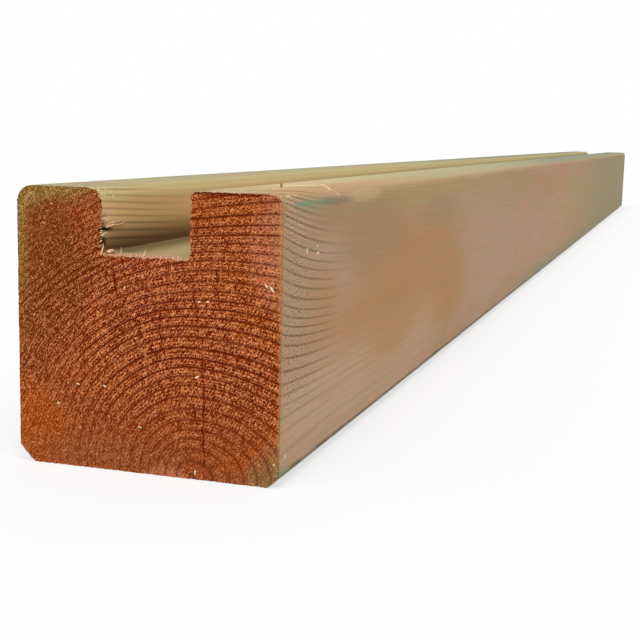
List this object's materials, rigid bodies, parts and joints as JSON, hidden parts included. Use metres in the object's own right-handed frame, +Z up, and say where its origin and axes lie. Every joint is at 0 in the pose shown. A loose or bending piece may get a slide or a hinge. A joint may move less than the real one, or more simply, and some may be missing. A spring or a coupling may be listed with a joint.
{
  "type": "fence end post",
  "caption": "Square softwood post with a full-length groove in one face that holds the edge of a fence panel, lying with the groove up.",
  "frame": {"origin": "middle of the underside, the face opposite the groove, halfway along the post", "axes": "+X across the post, +Y along the grain, +Z up out of the groove; the end at -Y is the one that the picture shows"},
  "size_m": [0.095, 1.8, 0.095],
  "materials": {
    "timber": "planed softwood with a faint green preservative tint, red-brown rough-sawn end grain with growth rings"
  },
  "bodies": {
    "root": {"post": "timber"}
  },
  "joints": []
}
